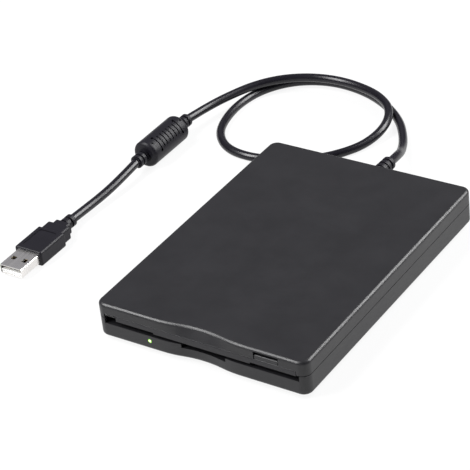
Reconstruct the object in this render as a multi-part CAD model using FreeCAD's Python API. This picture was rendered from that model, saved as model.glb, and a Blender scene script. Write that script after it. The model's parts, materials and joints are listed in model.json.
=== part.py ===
import FreeCAD, Part
import math
import os

# External 3.5-inch floppy disk drive with its captive cable, choke and plug.
# Millimetres. Origin on the table under the middle of the case, +Z up, the front faces -Y, +X to the right.
# The cable lies on the same table, behind the case and along its left side.

# Case
CASE_W = 102.2
CASE_D = 141.4
FOOT_H = 1.7
CASE_TOP = 18.0
WALL = 1.6
FLOOR_T = 1.3
CORNER_R = 4.2
TOP_EDGE_R = 1.5
BOTTOM_EDGE_R = 1.6
SPLIT_Z = 11.3
SEAM_GAP = 0.3
SEAM_DEPTH = 0.25
TONGUE_T = 0.7
TONGUE_H = 1.0
TONGUE_GAP = 0.1
HALF_W = CASE_W / 2
HALF_D = CASE_D / 2
FRONT_Y = -HALF_D
REAR_Y = HALF_D
INNER_FLOOR = FOOT_H + FLOOR_T
INNER_ROOF = CASE_TOP - WALL

# Finger scoop in the middle of the front
SCOOP_TOP_HALF = 22.0
SCOOP_TOP_DEPTH = 2.7
SCOOP_LEAST = 0.05
SCOOP_LIP_HALF = 19.0
SCOOP_LIP_DEPTH = 1.8
SCOOP_BACKING = 23.0
SCOOP_BACK_Y = FRONT_Y + 4.4
OPENING_BACK_Y = FRONT_Y + 4.7

# Disk slot, its door and the thumb notch in the lip
SLOT_X0 = -47.0
SLOT_X1 = 47.5
SLOT_UPPER_X1 = 46.3
SLOT_Z0 = 8.65
SLOT_Z1 = 13.45
LIP_SHELF_Y = FRONT_Y + 4.3
NOTCH_X0 = -9.5
NOTCH_X1 = 12.3
NOTCH_Z0 = 6.8
DOOR_X0 = -41.2
DOOR_X1 = 46.0
DOOR_T = 1.1
DOOR_AXIS_Z = 12.78
DOOR_SIDE_Z0 = 10.9
DOOR_MID_Z0 = 10.2
DOOR_MID_X0 = -22.5
DOOR_MID_X1 = 24.5
DOOR_AXIS_Y = FRONT_Y + 0.65
DOOR_PIN_R = 0.35

# Eject button and activity lamp
BUTTON_X0 = 27.0
BUTTON_X1 = 37.9
BUTTON_Z0 = 13.57
BUTTON_SEAM = 0.12
BUTTON_Z1 = 15.4
BUTTON_BACK_Y = -65.2
BUTTON_EDGE_R = 0.55
BUTTON_HOLE_GAP = 0.4
BUTTON_HOLE_Z1 = 16.9
EJECT_TRAVEL = 4.5
LAMP_X = -24.7
LAMP_Z = 6.2
LAMP_R = 1.0

# Disk space: a 90 x 94 x 3.3 mm cartridge goes in level and drops by HOLDER_DROP
DISK_HALF_W = 45.0
HOLDER_DROP = 2.0
SPINDLE_Y = -18.0
STATOR_TEETH = 9
HEAD_Y = 21.5
HEAD_TRAVEL = 14.8
SHEET = 0.5

# The mechanism is drawn from its own floor and then raised into the case
MECHANISM_LIFT = 0.6

# Mechanism frame
FRAME_X = 47.8
FRAME_T = 0.8
FRAME_Y0 = -65.8
FRAME_Y1 = 56.0
FRAME_Z0 = 2.6
FRAME_FLOOR = FRAME_Z0 + FRAME_T
FRAME_WALL_TOP = 14.5
GUIDE_PIN_Y = (-50.0, 10.0)
GUIDE_PIN_Z = 10.6
GUIDE_PIN_R = 1.0
GUIDE_SLOT_R = 1.35
FRAME_SCREW_X = 36.0
FRAME_SCREW_Y = (-40.0, 36.0)

# Slide plate, between the frame's walls and the disk holder
SLIDE_X = 46.65
SLIDE_T = 0.6
SLIDE_TOP_Z0 = 13.65
SLIDE_TOP_T = 0.5
SLIDE_Y0 = -60.0
SLIDE_Y1 = 22.0

# Disk holder, open to the front, and its guide pins
HOLDER_Y0 = -62.0
HOLDER_Y1 = 26.0
HOLDER_TOP_Z = 12.75
HOLDER_FLANGE_Z = 8.3
HOLDER_SHOULDER_Y = 16.4
FLANGE_X = 41.0
GUIDE_PIN_X1 = 47.6

# Head rods, screw and motors
ROD_X = 9.0
ROD_Z = 5.2
ROD_R = 1.2
SCREW_X = 16.0
SCREW_Z = 8.4
SCREW_R = 1.5
ARM_AXIS_Y = 45.5
ARM_AXIS_Z = 12.9
ARM_PIN_R = 0.6
ARM_T = 0.6
ARM_Z0 = 13.2
CARRIAGE_Z0 = 3.8
CARRIAGE_Z1 = 6.6
CARRIAGE_Y1 = 48.0
HEAD_HALF_W = 2.5
HEAD_HALF_D = 1.5
HEAD_SEAT_Z = 6.4
LOWER_HEAD_TOP = 8.3
UPPER_HEAD_Z0 = 12.6

# Shutter lever on the disk holder
LEVER_X = -34.0
LEVER_Y = 14.0
LEVER_LEN = 20.0
LEVER_PIVOT_R = 1.5
LEVER_HALF_W = 1.6
LEVER_Z0 = 12.85
LEVER_T = 0.4
LEVER_PIN_Z0 = 9.2
LEVER_REST_DEG = -35.0
LEVER_SWING_DEG = 65.0

# Spindle motor, from the frame's floor up
BEARING_R = 3.5
SHAFT_R = 1.5
RUN_GAP = 0.05
ROTOR_R = 20.0
ROTOR_WALL = 1.2
MAGNET_WALL = 1.4
ROTOR_Z0 = 4.3
ROTOR_PLATE_Z = 6.0
ROTOR_PLATE_T = 0.4
HUB_R = 12.5
HUB_TOP = 6.8
SHAFT_TOP = 8.3
DRIVE_PIN_X = 10.0
DRIVE_PIN_R = 1.0
DRIVE_HOLE_R = 1.3
CORE_Z0 = 4.4
CORE_Z1 = 5.0
TOOTH_HALF = 1.2
TOOTH_REACH = 16.8
COIL_HALF = 2.2
COIL_R0 = 9.5
COIL_R1 = 15.2
COIL_Z0 = 4.15
COIL_Z1 = 5.25

# Screws, with cross recesses
CASE_SCREW_R = 1.1
CASE_SCREW_HEAD_R = 2.2
CASE_SCREW_Z = (4.4, 6.0, 14.0)
FRAME_SCREW_R = 1.25
FRAME_SCREW_HEAD_R = 2.4
FRAME_SCREW_Z = (1.8, 2.6, 4.9)
SCREW_HOLE_GAP = 0.15
CROSS_HALF_W = 0.25
CROSS_REACH = 0.59
CROSS_DEPTH = 0.6

# Rear bosses, feet and the interface board
BOSS_X = 44.0
BOSS_Y = 61.5
BOSS_SPLIT_Z = 9.0
BOSS_R = 3.25
PAD_R = 3.5
FOOT_R = 4.5
FOOT_EDGE_R = 0.3
FRONT_FOOT_Y = -60.0
BOARD_Z = 4.2
BOARD_T = 0.8
BOARD_TOP = BOARD_Z + BOARD_T
BOARD_POST_X = (-36.0, 20.0)
BOARD_POST_Y = 64.5
CHIP_H = 1.4
CRYSTAL_H = 3.4
CONNECTOR_H = 2.8

# Cable, 4.2 mm across, and what is on it
CORD_R = 2.1
EXIT_X = 0.6
EXIT_Z = 9.4
RELIEF_END_Y = 85.2
CHOKE_X = -111.1
CHOKE_R = 6.6
CHOKE_Z = CHOKE_R
CHOKE_Y0 = 50.2
CHOKE_Y1 = 78.7
CHOKE_RELIEF_Y0 = 42.8
CHOKE_RELIEF_Y1 = 86.4
CORE_R = 5.0
GROOVES = 8
GROOVE_PITCH = 2.45
GROOVE_MIDDLE_DEG = 46.0
CORE_END = 2.5
PLUG_X = -113.0
PLUG_Z = 3.7
PLUG_FACE_Y = -38.5
PLUG_BODY_Y1 = -20.8
PLUG_SHOULDER_Y1 = -15.2
PLUG_NECK_Y1 = -12.4
PLUG_END_Y = -5.8
SHELL_W = 12.0
SHELL_H = 4.5
SHELL_T = 0.3
SHELL_LEN = 12.8
TONGUE_HALF_W = 5.5
TONGUE_TOP_Z = PLUG_Z - 0.1

# The route of the long stretch, from the case to the choke, and of the short one, from the choke to the plug
REAR_ROUTE = [
    (EXIT_X, RELIEF_END_Y, EXIT_Z),
    (-0.2, 94.8, 8.0),
    (-4.4, 106.6, 3.3),
    (-10.3, 118.8, 2.1),
    (-20.0, 132.4, 2.1),
    (-35.0, 144.0, 2.1),
    (-52.3, 151.0, 2.1),
    (-70.5, 152.2, 2.1),
    (-86.5, 145.6, 2.1),
    (-96.8, 132.6, 2.1),
    (-100.4, 117.0, 2.1),
    (-98.9, 101.0, 2.1),
    (-93.8, 87.0, 2.1),
    (-82.6, 76.8, 2.1),
    (-67.6, 74.6, 2.1),
    (-53.2, 78.8, 2.1),
    (-40.4, 84.6, 2.1),
    (-31.0, 93.8, 2.1),
    (-23.8, 106.4, 2.2),
    (-21.0, 120.4, 4.3),
    (-25.4, 133.8, 5.9),
    (-36.4, 142.8, 6.1),
    (-50.0, 147.5, 6.0),
    (-64.2, 148.9, 6.0),
    (-78.0, 145.9, 6.1),
    (-89.8, 138.4, 6.5),
    (-98.6, 127.4, 6.7),
    (-104.6, 114.2, 6.5),
    (-109.0, 100.4, 6.3),
    (CHOKE_X, CHOKE_RELIEF_Y1, CHOKE_Z),
]
FRONT_ROUTE = [
    (CHOKE_X, CHOKE_RELIEF_Y0, CHOKE_Z),
    (-111.0, 31.4, 5.4),
    (-111.4, 19.0, 4.2),
    (-112.5, 6.6, 3.5),
    (PLUG_X, PLUG_END_Y, PLUG_Z),
]
ARC_SHARE = 0.45
LEAST_RADIUS = 5 * 2 * CORD_R

X_AXIS = FreeCAD.Vector(1, 0, 0)
Y_AXIS = FreeCAD.Vector(0, 1, 0)
Z_AXIS = FreeCAD.Vector(0, 0, 1)
THROUGH = 2.0


def vec(x, y, z):
    return FreeCAD.Vector(x, y, z)


def box(x0, x1, y0, y1, z0, z1):
    return Part.makeBox(x1 - x0, y1 - y0, z1 - z0, vec(x0, y0, z0))


def post(x, y, z0, z1, radius):
    return Part.makeCylinder(radius, z1 - z0, vec(x, y, z0), Z_AXIS)


def rod_y(x, z, y0, y1, radius):
    return Part.makeCylinder(radius, y1 - y0, vec(x, y0, z), Y_AXIS)


def rod_x(y, z, x0, x1, radius):
    return Part.makeCylinder(radius, x1 - x0, vec(x0, y, z), X_AXIS)


def tube_y(x, z, y0, y1, outer, inner):
    return rod_y(x, z, y0, y1, outer).cut(rod_y(x, z, y0 - THROUGH, y1 + THROUGH, inner))


def cone_y(x, z, y0, y1, r0, r1):
    return Part.makeCone(r0, r1, y1 - y0, vec(x, y0, z), Y_AXIS)


def fused(shapes):
    return shapes[0].multiFuse(shapes[1:]).removeSplitter()


def cut_all(shape, tools):
    return shape.cut(tools)


def save(name, solids):
    # One file per node; a list is a group of separate solids.
    shape = solids
    if isinstance(solids, list):
        shape = Part.makeCompound(solids)
    for solid in shape.Solids:
        if not solid.isValid():
            print("invalid solid in", name)
    shape.exportStep("parts/" + name + ".step")
    print(name, len(shape.Solids), round(shape.Volume, 1))


def lifted(solids):
    # Raises a part of the mechanism from its own floor into the case.
    for solid in solids if isinstance(solids, list) else [solids]:
        solid.translate(vec(0, 0, MECHANISM_LIFT))
    return solids


def arc_through(p0, p1, p2):
    return Part.Arc(p0, p1, p2).toShape()


def rounded_slab(x0, x1, y0, y1, radius, z0, z1):
    # A block whose four upright edges are rounded.
    c = radius * (1 - math.sqrt(0.5))
    a = [
        vec(x0 + radius, y0, z0), vec(x1 - radius, y0, z0), vec(x1 - c, y0 + c, z0), vec(x1, y0 + radius, z0),
        vec(x1, y1 - radius, z0), vec(x1 - c, y1 - c, z0), vec(x1 - radius, y1, z0), vec(x0 + radius, y1, z0),
        vec(x0 + c, y1 - c, z0), vec(x0, y1 - radius, z0), vec(x0, y0 + radius, z0), vec(x0 + c, y0 + c, z0),
    ]
    edges = [
        Part.LineSegment(a[0], a[1]).toShape(), arc_through(a[1], a[2], a[3]),
        Part.LineSegment(a[3], a[4]).toShape(), arc_through(a[4], a[5], a[6]),
        Part.LineSegment(a[6], a[7]).toShape(), arc_through(a[7], a[8], a[9]),
        Part.LineSegment(a[9], a[10]).toShape(), arc_through(a[10], a[11], a[0]),
    ]
    return Part.Face(Part.Wire(edges)).extrude(vec(0, 0, z1 - z0))


def rounded_bar_y(x, z, width, height, radius, y0, y1):
    # A bar along Y whose four long edges are rounded.
    slab = rounded_slab(-width / 2, width / 2, -height / 2, height / 2, radius, 0, y1 - y0)
    slab.rotate(vec(0, 0, 0), X_AXIS, -90)
    slab.translate(vec(x, y0, z))
    return slab


def case_slab(inset, z0, z1):
    return rounded_slab(-HALF_W + inset, HALF_W - inset, -HALF_D + inset, HALF_D - inset, CORNER_R - inset / 2, z0, z1)


def fillet_level(shape, z, radius):
    # Rounds the edges that lie flat at one height on the outside of the case.
    edges = []
    for edge in shape.Edges:
        bounds = edge.BoundBox
        if abs(bounds.ZMin - z) < 0.01 and abs(bounds.ZMax - z) < 0.01:
            edges.append(edge)
    return shape.makeFillet(radius, edges)


def scoop_outline(half, depth, z):
    # Two convex shoulders and one hollow, tangent to each other and to the front.
    radius = (half ** 2 + depth ** 2) / (4 * depth)
    turn = math.asin(half / (2 * radius))
    side = radius * math.sin(turn / 2)
    rise = radius * (1 - math.cos(turn / 2))
    y = FRONT_Y
    out = y - 2 * SCOOP_TOP_DEPTH
    p = [
        vec(-half, y, z), vec(-half + side, y + rise, z), vec(-half / 2, y + depth / 2, z), vec(0, y + depth, z),
        vec(half / 2, y + depth / 2, z), vec(half - side, y + rise, z), vec(half, y, z),
        vec(half, out, z), vec(-half, out, z),
    ]
    edges = [
        arc_through(p[0], p[1], p[2]), arc_through(p[2], p[3], p[4]), arc_through(p[4], p[5], p[6]),
        Part.LineSegment(p[6], p[7]).toShape(), Part.LineSegment(p[7], p[8]).toShape(),
        Part.LineSegment(p[8], p[0]).toShape(),
    ]
    return Part.Wire(edges)


def scoop(half, depth0, depth1, z0, z1):
    # The finger scoop between two heights, as deep as given at each of them.
    return Part.makeLoft([scoop_outline(half, depth0, z0), scoop_outline(half, depth1, z1)], True, True)


def case_cavity():
    cavity = case_slab(WALL, INNER_FLOOR, INNER_ROOF)
    backing = box(-SCOOP_BACKING, SCOOP_BACKING, FRONT_Y, SCOOP_BACK_Y, INNER_FLOOR, INNER_ROOF)
    shelf = box(-HALF_W, HALF_W, FRONT_Y, LIP_SHELF_Y, INNER_FLOOR, SLOT_Z0)
    return cavity.cut([backing, shelf])


def front_openings():
    slot_lower = box(SLOT_X0, SLOT_X1, FRONT_Y - THROUGH, OPENING_BACK_Y, SLOT_Z0, SPLIT_Z)
    slot_upper = box(SLOT_X0, SLOT_UPPER_X1, FRONT_Y - THROUGH, OPENING_BACK_Y, SPLIT_Z, SLOT_Z1)
    notch = box(NOTCH_X0, NOTCH_X1, FRONT_Y - THROUGH, OPENING_BACK_Y, NOTCH_Z0, SLOT_Z0)
    gap = BUTTON_HOLE_GAP
    button = box(BUTTON_X0 - gap, BUTTON_X1 + gap, FRONT_Y - THROUGH, OPENING_BACK_Y,
                 BUTTON_Z0 - BUTTON_SEAM, BUTTON_HOLE_Z1)
    lamp = rod_y(LAMP_X, LAMP_Z, FRONT_Y - THROUGH, OPENING_BACK_Y, LAMP_R)
    pin_left = rod_x(DOOR_AXIS_Y, DOOR_AXIS_Z, SLOT_X0 - 1.3, SLOT_X0, DOOR_PIN_R + 0.05)
    pin_right = rod_x(DOOR_AXIS_Y, DOOR_AXIS_Z, SLOT_UPPER_X1, SLOT_UPPER_X1 + 1.6, DOOR_PIN_R + 0.05)
    relief = rod_y(EXIT_X, EXIT_Z, REAR_Y - WALL - THROUGH, REAR_Y + THROUGH, 3.0)
    return [slot_lower, slot_upper, notch, button, lamp, pin_left, pin_right, relief]


def seam_groove():
    z0 = SPLIT_Z - SEAM_GAP / 2
    z1 = SPLIT_Z + SEAM_GAP / 2
    return case_slab(-THROUGH, z0, z1).cut(case_slab(SEAM_DEPTH, z0, z1))


def tongue_ring(grow):
    outer = case_slab(WALL - TONGUE_T - grow, SPLIT_Z, SPLIT_Z + TONGUE_H + grow)
    inner = case_slab(WALL, SPLIT_Z, SPLIT_Z + TONGUE_H + grow)
    return outer.cut(inner)


def frame_screw_places():
    return [(side * FRAME_SCREW_X, y) for side in (-1, 1) for y in FRAME_SCREW_Y]


def make_bottom_cover():
    shell = case_slab(0, FOOT_H, SPLIT_Z)
    shell = shell.cut(scoop(SCOOP_LIP_HALF, SCOOP_LIP_DEPTH, SCOOP_LIP_DEPTH, 0, SPLIT_Z + 1))
    shell = fillet_level(shell, FOOT_H, BOTTOM_EDGE_R)
    shell = shell.cut(case_cavity())
    adds = [tongue_ring(0)]
    holes = front_openings() + [seam_groove()]
    for side in (-1, 1):
        x = side * BOSS_X
        adds.append(post(x, BOSS_Y, INNER_FLOOR, BOSS_SPLIT_Z, BOSS_R))
        holes.append(post(x, BOSS_Y, 0, CASE_SCREW_Z[1], CASE_SCREW_HEAD_R + 0.1))
        holes.append(post(x, BOSS_Y, 0, BOSS_SPLIT_Z + 1, CASE_SCREW_R + 0.3))
    for x, y in frame_screw_places():
        adds.append(post(x, y, INNER_FLOOR, FRAME_Z0 + MECHANISM_LIFT, PAD_R))
        holes.append(post(x, y, 0, FRAME_SCREW_Z[1], FRAME_SCREW_HEAD_R + 0.2))
        holes.append(post(x, y, 0, FRAME_SCREW_Z[2], FRAME_SCREW_R + SCREW_HOLE_GAP))
    for x in BOARD_POST_X:
        adds.append(post(x, BOARD_POST_Y, INNER_FLOOR, BOARD_Z + MECHANISM_LIFT, 2.0))
    return cut_all(fused([shell] + adds), holes)


def make_top_cover():
    shell = case_slab(0, SPLIT_Z, CASE_TOP)
    slope = (SCOOP_TOP_DEPTH - SCOOP_LEAST) / (CASE_TOP - SLOT_Z1)
    shell = shell.cut(scoop(SCOOP_TOP_HALF, SCOOP_LEAST, SCOOP_TOP_DEPTH + slope, SLOT_Z1, CASE_TOP + 1))
    shell = fillet_level(shell, CASE_TOP, TOP_EDGE_R)
    shell = shell.cut(case_cavity())
    adds = []
    holes = front_openings() + [seam_groove(), tongue_ring(TONGUE_GAP)]
    for side in (-1, 1):
        adds.append(post(side * BOSS_X, BOSS_Y, BOSS_SPLIT_Z, INNER_ROOF, 3.25))
        holes.append(post(side * BOSS_X, BOSS_Y, BOSS_SPLIT_Z - 1, 15.5, 1.1))
    return cut_all(fused([shell] + adds), holes)


def cross_screw(x, y, levels, head_r, shank_r):
    # Head below, tip above; levels are the head's two ends and the tip.
    head_z, neck_z, tip_z = levels
    body = post(x, y, head_z, neck_z, head_r).fuse(post(x, y, neck_z, tip_z, shank_r))
    reach = CROSS_REACH * head_r
    depth = min(CROSS_DEPTH, 0.7 * (neck_z - head_z))
    bars = [
        box(x - reach, x + reach, y - CROSS_HALF_W, y + CROSS_HALF_W, head_z, head_z + depth),
        box(x - CROSS_HALF_W, x + CROSS_HALF_W, y - reach, y + reach, head_z, head_z + depth),
    ]
    return body.cut(fused(bars))


def make_case_screws():
    places = [(side * BOSS_X, BOSS_Y) for side in (-1, 1)]
    return [cross_screw(x, y, CASE_SCREW_Z, CASE_SCREW_HEAD_R, CASE_SCREW_R) for x, y in places]


def make_frame_screws():
    return [cross_screw(x, y, FRAME_SCREW_Z, FRAME_SCREW_HEAD_R, FRAME_SCREW_R) for x, y in frame_screw_places()]


def make_rubber_feet():
    feet = []
    for side in (-1, 1):
        for y in (FRONT_FOOT_Y, BOSS_Y):
            foot = post(side * BOSS_X, y, 0, FOOT_H, FOOT_R)
            feet.append(fillet_level(foot, 0, FOOT_EDGE_R))
    return feet


def make_slot_door():
    front = DOOR_AXIS_Y - DOOR_T / 2
    back = DOOR_AXIS_Y + DOOR_T / 2
    side_plate = box(DOOR_X0, DOOR_X1, front, back, DOOR_SIDE_Z0, DOOR_AXIS_Z)
    mid_plate = box(DOOR_MID_X0, DOOR_MID_X1, front, back, DOOR_MID_Z0, DOOR_AXIS_Z)
    round_top = rod_x(DOOR_AXIS_Y, DOOR_AXIS_Z, DOOR_X0, DOOR_X1, DOOR_T / 2)
    pins = rod_x(DOOR_AXIS_Y, DOOR_AXIS_Z, SLOT_X0 - 1.2, SLOT_UPPER_X1 + 1.4, DOOR_PIN_R)
    return fused([side_plate, mid_plate, round_top, pins])


def make_door_spring():
    outer = rod_x(DOOR_AXIS_Y, DOOR_AXIS_Z, SLOT_X0 + 0.4, DOOR_X0 - 0.4, 0.6)
    return outer.cut(rod_x(DOOR_AXIS_Y, DOOR_AXIS_Z, SLOT_X0 - 1, DOOR_X0 + 1, DOOR_PIN_R + 0.05))


def make_eject_button():
    body = box(BUTTON_X0, BUTTON_X1, FRONT_Y + 0.1, BUTTON_BACK_Y, BUTTON_Z0, BUTTON_Z1)
    edges = []
    for edge in body.Edges:
        bounds = edge.BoundBox
        if abs(bounds.YMax - (FRONT_Y + 0.1)) < 0.01 and bounds.ZMin > BUTTON_Z0 + 0.1 and bounds.XLength > 1:
            edges.append(edge)
    body = body.makeFillet(BUTTON_EDGE_R, edges)
    tab_z0 = SLIDE_TOP_Z0 + MECHANISM_LIFT
    socket = box(28.5, 36.5, -66.5, BUTTON_BACK_Y + 1, tab_z0, tab_z0 + SLIDE_TOP_T)
    return body.cut(socket)


def make_slide_plate():
    top_z1 = SLIDE_TOP_Z0 + SLIDE_TOP_T
    top = box(-SLIDE_X, SLIDE_X, SLIDE_Y0, SLIDE_Y1, SLIDE_TOP_Z0, top_z1)
    window = box(-16.0, 16.0, -32.0, SLIDE_Y1 + 1, SLIDE_TOP_Z0 - 1, top_z1 + 1)
    side_windows = [box(side * 31 - 9, side * 31 + 9, -44.0, -8.0, SLIDE_TOP_Z0 - 1, top_z1 + 1) for side in (-1, 1)]
    solids = [top.cut([window] + side_windows)]
    for side in (-1, 1):
        x0 = min(side * SLIDE_X, side * (SLIDE_X - SLIDE_T))
        flange = box(x0, x0 + SLIDE_T, SLIDE_Y0, SLIDE_Y1, 7.0, SLIDE_TOP_Z0)
        slots = [cam_slot(x0 - 1, x0 + SLIDE_T + 1, y) for y in GUIDE_PIN_Y]
        solids.append(flange.cut(slots))
        hook_x0 = min(side * 43.6, side * SLIDE_X)
        solids.append(box(hook_x0, hook_x0 + SLIDE_X - 43.6, SLIDE_Y1 - SLIDE_T, SLIDE_Y1, 11.4, SLIDE_TOP_Z0))
    tab = box(28.5, 36.5, -66.5, SLIDE_Y0 + 1, SLIDE_TOP_Z0, top_z1)
    solids.append(tab)
    return fused(solids)


def cam_slot(x0, x1, y):
    # The slanted slot that lowers the holder's guide pin as the plate slides forward.
    low = GUIDE_PIN_Z - HOLDER_DROP
    start = rod_x(y, GUIDE_PIN_Z, x0, x1, GUIDE_SLOT_R)
    end = rod_x(y + EJECT_TRAVEL, low, x0, x1, GUIDE_SLOT_R)
    length = math.hypot(EJECT_TRAVEL, HOLDER_DROP)
    lift = GUIDE_SLOT_R * EJECT_TRAVEL / length
    shift = GUIDE_SLOT_R * HOLDER_DROP / length
    corners = [
        vec(x0, y + shift, GUIDE_PIN_Z + lift), vec(x0, y + EJECT_TRAVEL + shift, low + lift),
        vec(x0, y + EJECT_TRAVEL - shift, low - lift), vec(x0, y - shift, GUIDE_PIN_Z - lift),
    ]
    between = Part.Face(Part.makePolygon(corners + corners[:1])).extrude(vec(x1 - x0, 0, 0))
    return fused([start, end, between])


def make_slide_springs():
    return [tube_y(side * 44.6, 12.4, SLIDE_Y1, 44.5, 1.1, 0.6) for side in (-1, 1)]


def make_chassis_frame():
    floor = box(-FRAME_X, FRAME_X, FRAME_Y0, FRAME_Y1, FRAME_Z0, FRAME_FLOOR)
    rear = box(-FRAME_X, FRAME_X, FRAME_Y1 - FRAME_T, FRAME_Y1, FRAME_FLOOR, 12.0)
    solids = [floor, rear]
    holes = [box(-40.0, -16.0, FRAME_Y1 - 2, FRAME_Y1 + 1, 5.0, 8.0)]
    for side in (-1, 1):
        x0 = min(side * FRAME_X, side * (FRAME_X - FRAME_T))
        solids.append(box(x0, x0 + FRAME_T, FRAME_Y0, FRAME_Y1, FRAME_FLOOR, FRAME_WALL_TOP))
        solids.append(box(side * 44.6 - 0.8, side * 44.6 + 0.8, 44.5, 45.5, FRAME_FLOOR, 13.6))
        solids.append(box(side * ROD_X - 1.8, side * ROD_X + 1.8, 8.5, 11.0, FRAME_FLOOR, 6.6))
        solids.append(box(side * ROD_X - 1.8, side * ROD_X + 1.8, 50.0, 52.5, FRAME_FLOOR, 7.0))
        for y in GUIDE_PIN_Y:
            holes.append(box(x0 - 1, x0 + FRAME_T + 1, y - GUIDE_SLOT_R, y + GUIDE_SLOT_R,
                             GUIDE_PIN_Z - HOLDER_DROP - GUIDE_SLOT_R, GUIDE_PIN_Z + GUIDE_SLOT_R))
        holes.append(rod_y(side * ROD_X, ROD_Z, 9.5, 51.5, ROD_R))
    for x, y in frame_screw_places():
        solids.append(post(x, y, FRAME_FLOOR, 4.4, 2.2))
        holes.append(post(x, y, FRAME_Z0 - 1, 5.0, 1.25))
    for x in (-39.0, -17.0):
        solids.append(post(x, 42.0, FRAME_FLOOR, 4.4, 1.5))
    return cut_all(fused(solids), holes)


def make_top_shield():
    plate = box(-FRAME_X, FRAME_X, -58.0, FRAME_Y1, FRAME_WALL_TOP, FRAME_WALL_TOP + SHEET)
    windows = [box(side * 26 - 13, side * 26 + 13, -46.0, -10.0, FRAME_WALL_TOP - 1, 16.0) for side in (-1, 1)]
    return plate.cut(windows)


def make_guide_rods():
    return [rod_y(side * ROD_X, ROD_Z, 9.5, 51.5, ROD_R) for side in (-1, 1)]


def make_motor_board():
    board = rounded_slab(-26.0, 26.0, -46.0, 6.0, 4.0, FRAME_FLOOR, 4.0)
    return board.cut(post(0, SPINDLE_Y, 3.0, 5.0, 3.6))


def make_spindle_bearing():
    sleeve = post(0, SPINDLE_Y, FRAME_FLOOR, ROTOR_PLATE_Z - 0.2, BEARING_R)
    return sleeve.cut(post(0, SPINDLE_Y, 0, HUB_TOP, SHAFT_R + RUN_GAP))


def stator_tooth(index, half_width, r0, r1, z0, z1):
    tooth = box(r0, r1, -half_width, half_width, z0, z1)
    tooth.rotate(vec(0, 0, 0), Z_AXIS, index * 360 / STATOR_TEETH)
    tooth.translate(vec(0, SPINDLE_Y, 0))
    return tooth


def make_stator_core():
    ring = post(0, SPINDLE_Y, CORE_Z0, CORE_Z1, 8.0).cut(post(0, SPINDLE_Y, 0, HUB_TOP, BEARING_R))
    teeth = [stator_tooth(i, TOOTH_HALF, 7.0, TOOTH_REACH, CORE_Z0, CORE_Z1) for i in range(STATOR_TEETH)]
    return fused([ring] + teeth)


def make_stator_coils():
    coils = []
    for i in range(STATOR_TEETH):
        winding = stator_tooth(i, COIL_HALF, COIL_R0, COIL_R1, COIL_Z0, COIL_Z1)
        coils.append(winding.cut(stator_tooth(i, TOOTH_HALF, COIL_R0 - 1, COIL_R1 + 1, CORE_Z0, CORE_Z1)))
    return coils


def make_spindle_rotor():
    top = ROTOR_PLATE_Z + ROTOR_PLATE_T
    plate = post(0, SPINDLE_Y, ROTOR_PLATE_Z, top, ROTOR_R)
    rim = post(0, SPINDLE_Y, ROTOR_Z0, ROTOR_PLATE_Z, ROTOR_R)
    rim = rim.cut(post(0, SPINDLE_Y, 0, top, ROTOR_R - ROTOR_WALL))
    holes = [post(0, SPINDLE_Y, 0, HUB_TOP, SHAFT_R), post(DRIVE_PIN_X, SPINDLE_Y, 0, HUB_TOP, DRIVE_HOLE_R)]
    return cut_all(fused([plate, rim]), holes)


def make_ring_magnet():
    outer = ROTOR_R - ROTOR_WALL
    ring = post(0, SPINDLE_Y, ROTOR_Z0 + 0.1, ROTOR_PLATE_Z, outer)
    return ring.cut(post(0, SPINDLE_Y, 0, HUB_TOP, outer - MAGNET_WALL))


def make_spindle_hub():
    shaft = post(0, SPINDLE_Y, FRAME_FLOOR + 0.1, SHAFT_TOP, SHAFT_R)
    table = post(0, SPINDLE_Y, ROTOR_PLATE_Z + ROTOR_PLATE_T, HUB_TOP, HUB_R)
    return fused([shaft, table.cut(post(DRIVE_PIN_X, SPINDLE_Y, 0, SHAFT_TOP, DRIVE_HOLE_R))])


def make_drive_pin():
    foot_z = ROTOR_PLATE_Z - 0.3
    pin = post(DRIVE_PIN_X, SPINDLE_Y, foot_z, HUB_TOP + 0.6, DRIVE_PIN_R)
    return pin.fuse(post(DRIVE_PIN_X, SPINDLE_Y, foot_z, foot_z + 0.25, DRIVE_PIN_R + 0.7))


def make_stepper_motor():
    can = rod_y(SCREW_X, SCREW_Z, 48.6, 55.2, 5.0)
    return can.cut(rod_y(SCREW_X, SCREW_Z, 48.0, 53.2, SCREW_R + 0.05))


def make_lead_screw():
    core = rod_y(SCREW_X, SCREW_Z, 28.3, 53.0, SCREW_R)
    grooves = []
    for i in range(6):
        y = 30.5 + i * 3.0
        grooves.append(tube_y(SCREW_X, SCREW_Z, y, y + 0.8, SCREW_R + 1, SCREW_R - 0.25))
    return core.cut(grooves)


def make_screw_bracket():
    plate = box(SCREW_X - 3, SCREW_X + 3, 28.2, 29.2, FRAME_FLOOR, 10.6)
    foot = box(SCREW_X - 3, SCREW_X + 3, 29.2, 32.0, FRAME_FLOOR, 4.0)
    return fused([plate, foot]).cut(rod_y(SCREW_X, SCREW_Z, 28.0, 30.0, SCREW_R + 0.05))


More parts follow.
